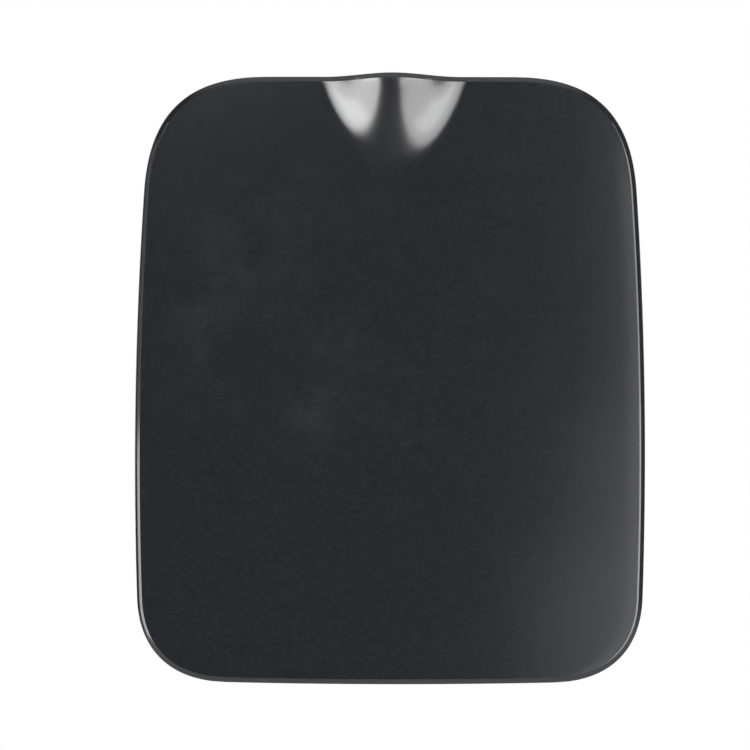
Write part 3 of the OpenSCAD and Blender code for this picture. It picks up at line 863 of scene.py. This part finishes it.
@dataclass
class Skin:
    """The outer sheet: crowned face, scoop, and the hem folded back along its edge."""

    shape: DoorShape
    cols: int = 120
    rows: tuple[int, int, int] = (24, 56, 56)
    fold_steps: int = 7
    flange_steps: int = 3
    crease_w: float = 1.45
    crease_lean: float = 0.58
    edge_strip: float = 0.1
    right_strip: float = 0.28
    right_from: float = 0.7
    right_fade: float = 0.25
    sharp_top: float = 14.0
    smooth_to: float = 50.0
    roll_w: float = 3.5
    roll_depth: float = 0.115
    roll_top: float = 36.0
    roll_fade: float = 24.0

    def build(self) -> bpy.types.Object:
        """Lays the face, folds the hem and gives the sheet its thickness.

        Returns:
            The skin.
        """
        shape, wide = self.shape, self.crease_w
        edge = shape.outline(self.cols, self.rows)
        strips = [self._strip(plan) for plan in edge]
        grid = SheetGrid(inset(edge, [wide + w for w in strips]), self.cols, sum(self.rows))

        def place(c: int, r: int) -> Point:
            """Point of the face at a column and a row."""
            return self._rolled(grid.point(c, r), grid.margin(c, r) + wide + self.edge_strip, 0)

        piece, ring = grid.lay("door_skin", place)
        crease, *fold = self._fold()
        ring = extrude_ring(piece, ring, [self._rolled(plan, *crease) for plan in inset(edge, crease[0])])
        self._sharpen(piece, ring)
        leaning = zip(inset(edge, [wide - w for w in strips]), strips)
        places = [self._rolled(plan, wide, self.crease_lean * w) for plan, w in leaning]
        ring = extrude_ring(piece, ring, places)
        for step_in, depth in fold:
            places = [self._rolled(plan, step_in, depth) for plan in inset(edge, step_in)]
            ring = extrude_ring(piece, ring, places)
        modify(piece, "SOLIDIFY", thickness=shape.skin_t * MM, offset=-1)
        smooth(piece, self.smooth_to)
        return piece

    def _strip(self, plan: Plan) -> float:
        """Width over which the crease rounds off on each side of it, more along the right of the door.

        Args:
            plan: Place on the outline.

        Returns:
            The width, in millimetres.
        """
        right = ease((2 * plan[0] / self.shape.width - self.right_from) / self.right_fade)
        below = ease((self.shape.height - self.sharp_top - plan[1]) / self.sharp_top)
        return mix(self.edge_strip, self.right_strip, right * below)

    def _sharpen(self, piece: bpy.types.Object, ring: Sequence[int]) -> None:
        """Marks the crease sharp round the top corners, where the press closes it tightest.

        Args:
            piece: The sheet.
            ring: Vertex numbers of the crease.
        """
        crease = set(ring)
        mesh = piece.data
        top = (self.shape.base_z + self.shape.height - self.sharp_top) * MM
        for edge in mesh.edges:
            ends = [mesh.vertices[v].co.z for v in edge.vertices]
            edge.use_edge_sharp = crease.issuperset(edge.vertices) and min(ends) > top

    def _rolled(self, plan: Plan, margin: float, depth: float) -> Point:
        """Point of the sheet, where the face rolls back towards its sides and bottom.

        Args:
            plan: Place in the plan.
            margin: Distance from the outline.
            depth: Depth behind the face.

        Returns:
            The row-frame point, in metres.
        """
        near = max(0.0, 1 - max(0.0, margin - self.crease_w) / self.roll_w)
        fade = 1 - ease((plan[1] - self.shape.height + self.roll_top) / self.roll_fade)
        return self.shape.on_face(plan, depth + self.roll_depth * near**2 * fade)

    def _fold(self) -> list[Plan]:
        """Steps of the fold as (inset, depth): a leaning crease, a round back and the flange.

        Returns:
            The steps, in millimetres, from the crease on.
        """
        radius, wide = self.shape.hem_r, self.crease_w
        lean = self.crease_lean * wide
        steps = []
        for i in range(self.fold_steps + 1):
            turn = math.pi / 2 * i / self.fold_steps
            fall = lean * math.sin(turn) + (radius - lean) * (1 - math.cos(turn))
            steps.append((wide * (1 - math.sin(turn)), fall))
        for i in range(1, self.fold_steps + 1):
            turn = math.pi / 2 * i / self.fold_steps
            steps.append((radius * (1 - math.cos(turn)), radius * (1 + math.sin(turn))))
        for i in range(1, self.flange_steps + 1):
            steps.append((mix(radius, self.shape.hem_flange, i / self.flange_steps), 2 * radius))
        return steps


class Seat(NamedTuple):
    """A flat seat of the inner sheet, in millimetres in the door's plan."""

    x: float
    z: float
    half_w: float
    half_h: float


@dataclass
class InnerSheet:
    """The pressed inner sheet with its seats, holes and notch."""

    shape: DoorShape
    sheet_t: float = 0.8
    rise: float = 3.5
    fit: float = 0.1
    edge_gap: float = 0.7
    rim_w: float = 9.0
    slope_w: float = 7.0
    seat_slope: float = 3.0
    seat_margin: float = 5.2
    cols: int = 84
    rows: tuple[int, int, int] = (16, 60, 22)
    notch_r: float = 26.0
    notch_sides: int = 160
    round_holes: tuple[Point, ...] = ((32.0, 84.0, 8.5), (33.0, 57.0, 3.0))
    round_sides: int = 64
    stem_r: float = 3.35
    stem_sides: int = 40
    punch_l: float = 40.0
    leaf_foot: float = 15.0
    smooth_to: float = 40.0

    def field_y(self, x: float, z: float) -> float:
        """Depth of the back of the field in the row frame, in millimetres."""
        stack = self.shape.skin_t + self.fit + self.sheet_t
        return self.shape.apex_y + self.shape.crown(x, z) + stack + self.rise

    def seat(self, node: str) -> Seat:
        """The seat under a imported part, a margin larger than the part's box.

        Args:
            node: The part.

        Returns:
            The seat.
        """
        low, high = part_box(node)
        return Seat(
            (low.x + high.x) / 2 / MM,
            (low.z + high.z) / 2 / MM - self.shape.base_z,
            (high.x - low.x) / 2 / MM + self.seat_margin,
            (high.z - low.z) / 2 / MM + self.seat_margin,
        )

    def leaf_seat(self) -> Seat:
        """The seat under the flange of the hinge leaf.

        Returns:
            The seat.
        """
        low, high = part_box("hinge_leaf")
        top, foot = high.z / MM - self.shape.base_z, self.leaf_foot
        half_w = (high.x - low.x) / 2 / MM + self.seat_margin / 2
        return Seat(0.0, (top + foot) / 2, half_w, (top - foot) / 2 + self.seat_margin / 2)

    def back_y(self, plan: Plan, margin: float, seats: Sequence[Seat]) -> float:
        """Depth of the back at a plan point.

        Args:
            plan: Place in the plan.
            margin: Distance from the border.
            seats: The flat seats.

        Returns:
            The depth in the row frame, in millimetres.
        """
        share = ease((margin - self.rim_w + self.shape.hem_r) / self.slope_w)
        y = self.field_y(*plan) - self.rise * (1 - share)
        if share == 0:
            return y
        for x, z, half_w, half_h in seats:
            near = ease(1 + (half_w - abs(plan[0] - x)) / self.seat_slope)
            near *= ease(1 + (half_h - abs(plan[1] - z)) / self.seat_slope)
            y = mix(y, self.field_y(x, z), near)
        return y

    def build(self) -> bpy.types.Object:
        """Lays the sheet, thickens it forwards and cuts its holes.

        Returns:
            The inner sheet.
        """
        shape = self.shape
        edge = inset(shape.outline(self.cols, self.rows), shape.skin_t + self.edge_gap)
        grid = SheetGrid(edge, self.cols, sum(self.rows))
        seats = [self.leaf_seat(), *(self.seat(node) for node in ("lock_eye", *BUFFERS))]

        def place(c: int, r: int) -> Point:
            """Point of the back at a column and a row."""
            plan = grid.point(c, r)
            y = self.back_y(plan, grid.margin(c, r), seats)
            return (plan[0] * MM, y * MM, (shape.base_z + plan[1]) * MM)

        piece, _ = grid.lay("door_inner_sheet", place)
        modify(piece, "SOLIDIFY", thickness=self.sheet_t * MM, offset=1)
        punch(piece, self._holes(), self.punch_l)
        smooth(piece, self.smooth_to)
        return piece

    def _holes(self) -> list[Hole]:
        """The notch behind the scoop, the lightening and drain holes, and one for each buffer's stem.

        Returns:
            The holes.
        """
        rounds = [(self.shape.scoop_x, self.shape.height, self.notch_r, self.notch_sides)]
        for x, z, radius in self.round_holes:
            rounds += [(side * x, z, radius, self.round_sides) for side in (-1, 1)]
        for node in BUFFERS:
            seat = self.seat(node)
            rounds.append((seat.x, seat.z, self.stem_r, self.stem_sides))
        return [Hole(x, self.field_y(x, z), self.shape.base_z + z, *rest) for x, z, *rest in rounds]


CARRIED = {
    "mastic_pads": Finish.MASTIC,
    "bush_left": Finish.NYLON,
    "bush_right": Finish.NYLON,
    "lock_eye_rivets": Finish.STEEL,
    **{node: Finish.RUBBER for node in BUFFERS},
    "pin_clip": Finish.SPRING,
    "spring_rivets": Finish.STEEL,
}


@dataclass(frozen=True)
class HardPart:
    """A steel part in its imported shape, with its sharp edges broken as tumbling leaves them.

    The edge is in millimetres, the weld in metres, and flat and sharp are in degrees.
    """

    node: str
    body: str
    finish: Finish
    edge: float
    steps: int = 2
    weld: float = 0.000001
    flat: float = 0.5
    sharp: float = 40.0

    def build(self, paint: Paintbox) -> bpy.types.Object:
        """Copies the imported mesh, closes it, breaks its edges and dresses it.

        Args:
            paint: Where the finish comes from.

        Returns:
            The part.
        """
        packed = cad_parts[self.node]
        piece = bpy.data.objects.new(f"{self.node}_broken_edges", packed.data.copy())
        bpy.context.scene.collection.objects.link(piece)
        take(piece)
        bpy.ops.object.mode_set(mode="EDIT")
        bpy.ops.mesh.select_all(action="SELECT")
        bpy.ops.mesh.remove_doubles(threshold=self.weld)
        bpy.ops.mesh.dissolve_limited(angle_limit=math.radians(self.flat))
        bpy.ops.object.mode_set(mode="OBJECT")
        break_edges(piece, self.edge, self.steps, self.sharp)
        modify(piece, "WEIGHTED_NORMAL", keep_sharp=True)
        return paint.stand_in(piece, self.node, self.body, self.finish)


@dataclass(frozen=True)
class DetentBlade:
    """The spring blade behind the pin: a seat riveted to the bracket, two arms, and tips on the cam noses.

    The tips are cut back below the pin, where the stop toes of the open door come past them. Sizes are
    in millimetres, and sharp is in degrees.
    """

    node: str = "detent_spring"
    thick: float = 0.7
    seat_half: float = 7.5
    tip_w: float = 4.0
    bend: float = 1.2
    bend_steps: int = 4
    tip_drop: float = 1.0
    neck_w: float = 3.2
    neck_slope: float = 1.0
    rivet_x: float = 4.0
    rivet_r: float = 1.53
    rivet_sides: int = 32
    punch_l: float = 4.0
    cols: int = 96
    rows: int = 6
    edge: float = 0.12
    steps: int = 2
    sharp: float = 50.0

    def build(self, paint: Paintbox) -> bpy.types.Object:
        """Lays the bent strip, thickens it, drills it and dresses it.

        Args:
            paint: Where the finish comes from.

        Returns:
            The blade.
        """
        low, high = (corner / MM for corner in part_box(self.node))
        reach, middle, half_h = high.x, (low.z + high.z) / 2, (high.z - low.z) / 2
        deselect()
        bpy.ops.mesh.primitive_grid_add(x_subdivisions=self.cols, y_subdivisions=self.rows, size=2)
        piece = bpy.context.object
        piece.name = "detent_blade"
        piece.data.name = piece.name
        steps = self.bend_steps
        for vertex in piece.data.vertices:
            x = vertex.co.x * reach
            neck = ease((abs(x) - reach + self.neck_w + self.neck_slope) / self.neck_slope)
            foot = mix(-half_h, -self.tip_drop, neck)
            z = middle + mix(foot, half_h, (vertex.co.y + 1) / 2)
            along = [x + self.bend * k / steps for k in range(-steps, steps + 1)]
            depths = [self._bow(abs(at), reach, low.y, high.y) for at in along]
            vertex.co = (x * MM, sum(depths) / len(depths) * MM, z * MM)
        modify(piece, "SOLIDIFY", thickness=self.thick * MM, offset=-1)
        sides = (self.rivet_x, -self.rivet_x)
        holes = [Hole(x, high.y, middle, self.rivet_r, self.rivet_sides) for x in sides]
        punch(piece, holes, self.punch_l)
        break_edges(piece, self.edge, self.steps, self.sharp)
        return paint.stand_in(piece, self.node, BRACKET, Finish.SPRING)

    def _bow(self, x: float, reach: float, tip_y: float, back_y: float) -> float:
        """Depth of the blade's front before its bends are rounded.

        Args:
            x: Distance from the middle.
            reach: Half length of the blade.
            tip_y: Depth of the front of the tips.
            back_y: Depth of the back of the seat.

        Returns:
            The depth, in millimetres.
        """
        run = reach - self.tip_w - self.seat_half
        share = max(0.0, min(1.0, (x - self.seat_half) / run))
        return mix(back_y - self.thick, tip_y, share)


HARDWARE = (
    HardPart("hinge_leaf", DOOR, Finish.ZINC, 0.2),
    HardPart("hinge_screws", DOOR, Finish.STEEL, 0.15),
    HardPart("screw_washers", DOOR, Finish.ZINC, 0.12),
    HardPart("weld_nuts", DOOR, Finish.STEEL, 0.2),
    HardPart("lock_eye", DOOR, Finish.ZINC, 0.2),
    HardPart("hinge_bracket", BRACKET, Finish.ZINC, 0.2),
    HardPart("hinge_pin", BRACKET, Finish.STEEL, 0.2),
    HardPart("pin_washer", BRACKET, Finish.ZINC, 0.12),
    DetentBlade(),
)


@dataclass
class Panels:
    """Skin and inner sheet, the two pressings of the door."""

    paint: Paintbox
    shape: DoorShape

    def build(self) -> list[bpy.types.Object]:
        """Makes and dresses both sheets.

        Returns:
            The two pieces.
        """
        skin = Skin(self.shape).build()
        inner = InnerSheet(self.shape).build()
        return [
            self.paint.stand_in(skin, "outer_panel", DOOR, Finish.PRIMER),
            self.paint.stand_in(inner, "inner_panel", DOOR, Finish.INNER_PRIMER),
        ]


@dataclass(frozen=True)
class Softbox:
    """An upright soft light, given by its edges as the door sees them, in degrees from the camera's side."""

    name: str
    left: float
    right: float
    low: float
    high: float
    radiance: float
    distance: float = 1.3

    def build(self, target: Vector) -> bpy.types.Object:
        """Adds the light, square to its bearing.

        Args:
            target: The point that it stands round.

        Returns:
            The light.
        """
        turn = math.radians((self.left + self.right) / 2)
        foot, head = (self.distance * math.tan(math.radians(edge)) for edge in (self.low, self.high))
        data = bpy.data.lights.new(self.name, "AREA")
        data.shape = "RECTANGLE"
        data.size = 2 * self.distance * math.tan(math.radians((self.right - self.left) / 2))
        data.size_y = head - foot
        data.energy = math.pi * self.radiance * data.size * data.size_y
        light = bpy.data.objects.new(self.name, data)
        bpy.context.scene.collection.objects.link(light)
        away = Vector((math.sin(turn), -math.cos(turn), 0))
        light.location = target + away * self.distance + Vector((0, 0, (foot + head) / 2))
        light.rotation_euler = (-away).to_track_quat("-Z", "Y").to_euler()
        light.visible_camera = False
        return light


@dataclass
class Studio:
    """White ground, a pale floor, the soft lights and the camera in front of the door."""

    shape: DoorShape
    view_w: float = 0.21556
    eye_x: float = -0.00435
    eye_up: float = 0.08872
    eye_distance: float = 1.5
    plane_front: float = 0.004
    sensor: float = 36.0
    roll: float = -0.086
    floor_z: float = -0.25
    floor_size: float = 3.0
    floor_front: float = 0.35
    floor_grey: float = 0.42
    floor_rough: float = 0.9
    floor_white: float = 0.9
    floor_glow: float = 0.75
    ceiling: tuple[Span, Span] = ((0.80, 0.08), (0.97, 0.55))
    boxes: tuple[Softbox, ...] = (
        Softbox("right_key", 13, 43, 21, 50, 5.6),
        Softbox("right_core", 16, 33, 25, 36, 2.3, 1.25),
        Softbox("right_mid", 20, 66, -1, 21, 3.0),
        Softbox("right_low", 24, 74, -34, -1, 3.9, 0.6),
        Softbox("right_glow", 13.5, 20, -32, 14, 0.36, 1.2),
        Softbox("right_haze", 10.5, 20, -32, -1.5, 0.2, 1.15),
        Softbox("right_veil", 8, 20, -32, -8, 0.18, 1.1),
        Softbox("left_key", -41, -6, 18, 46, 4.3),
        Softbox("left_core", -33, -12, 24, 34, 1.8, 1.25),
        Softbox("left_fill", -90, -45, -3, 25, 0.4),
        Softbox("left_low", -84, -50, -36, -3, 3.9, 0.5),
        Softbox("back_right", 110, 160, -5, 45, 2.2),
        Softbox("back_left", -160, -110, -5, 45, 1.7),
    )

    def build(self) -> None:
        """Sets the ground, the lights and the camera."""
        bpy.context.scene.view_settings.view_transform = "Standard"
        self._sky()
        self._floor()
        target = Vector((0, self.shape.low.y, self.shape.low.z + self.eye_up))
        for box in self.boxes:
            box.build(target)
        self._camera()

    def _camera(self) -> None:
        """Adds the camera, square to the door, with the photograph's slight roll."""
        plane_y = self.shape.high.y - self.plane_front
        data = bpy.data.cameras.new("camera")
        data.sensor_width = self.sensor
        data.lens = self.sensor * self.eye_distance / self.view_w
        camera = bpy.data.objects.new("camera", data)
        bpy.context.scene.collection.objects.link(camera)
        camera.location = (self.eye_x, plane_y - self.eye_distance, self.shape.low.z + self.eye_up)
        camera.rotation_euler = (math.pi / 2, math.radians(self.roll), 0)
        bpy.context.scene.camera = camera

    def _floor(self) -> None:
        """Adds the floor: dull grey to the paint, near white to the camera."""
        deselect()
        back = self.floor_size / 2 - self.floor_front
        bpy.ops.mesh.primitive_plane_add(size=self.floor_size, location=(0, back, self.floor_z))
        floor = bpy.context.object
        floor.name = "floor"
        grey, white = ((value, value, value, 1) for value in (self.floor_grey, self.floor_white))
        shader = Shader("pale_floor", {"Base Color": grey, "Roughness": self.floor_rough})
        seen = shader.node("ShaderNodeLightPath", output="Is Camera Ray")
        glow = shader.node("ShaderNodeEmission", inputs={"Color": white})
        parts = {0: seen * self.floor_glow, 1: shader.surface, 2: glow}
        shader.show(shader.node("ShaderNodeMixShader", inputs=parts))
        floor.data.materials.append(shader.material)

    def _sky(self) -> None:
        """White to the camera; to the paint a dim room with a soft ceiling."""
        world = bpy.data.worlds.new("studio")
        world.use_nodes = True
        bpy.context.scene.world = world
        sky = Nodes(world.node_tree, "ShaderNodeOutputWorld")
        bearing = sky.node("ShaderNodeTexCoord", output="Generated")
        up = sky.node("ShaderNodeSeparateXYZ", inputs={0: bearing}, output="Z")
        dim = sky.node("ShaderNodeValToRGB", {"stops": self.ceiling}, {"Fac": up})
        room = sky.node("ShaderNodeBackground", inputs={"Color": dim})
        white = sky.node("ShaderNodeBackground", inputs={"Color": (1, 1, 1, 1)})
        seen = sky.node("ShaderNodeLightPath", output="Is Camera Ray")
        sky.show(sky.node("ShaderNodeMixShader", inputs={0: seen, 1: room, 2: white}))


def main() -> None:
    """Builds every piece in order."""
    logging.basicConfig(level=logging.INFO, format="%(name)s: %(message)s")
    shape = DoorShape(*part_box("outer_panel"))
    paint = Paintbox()
    for node, finish in CARRIED.items():
        paint.dress(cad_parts[node], finish)
        LOG.info("dressed %s", node)
    pieces = Panels(paint, shape).build() + [part.build(paint) for part in HARDWARE]
    for piece in pieces:
        LOG.info("built %s, %d faces", piece.name, len(piece.data.polygons))
    Studio(shape).build()


if __name__ == "__main__":
    main()
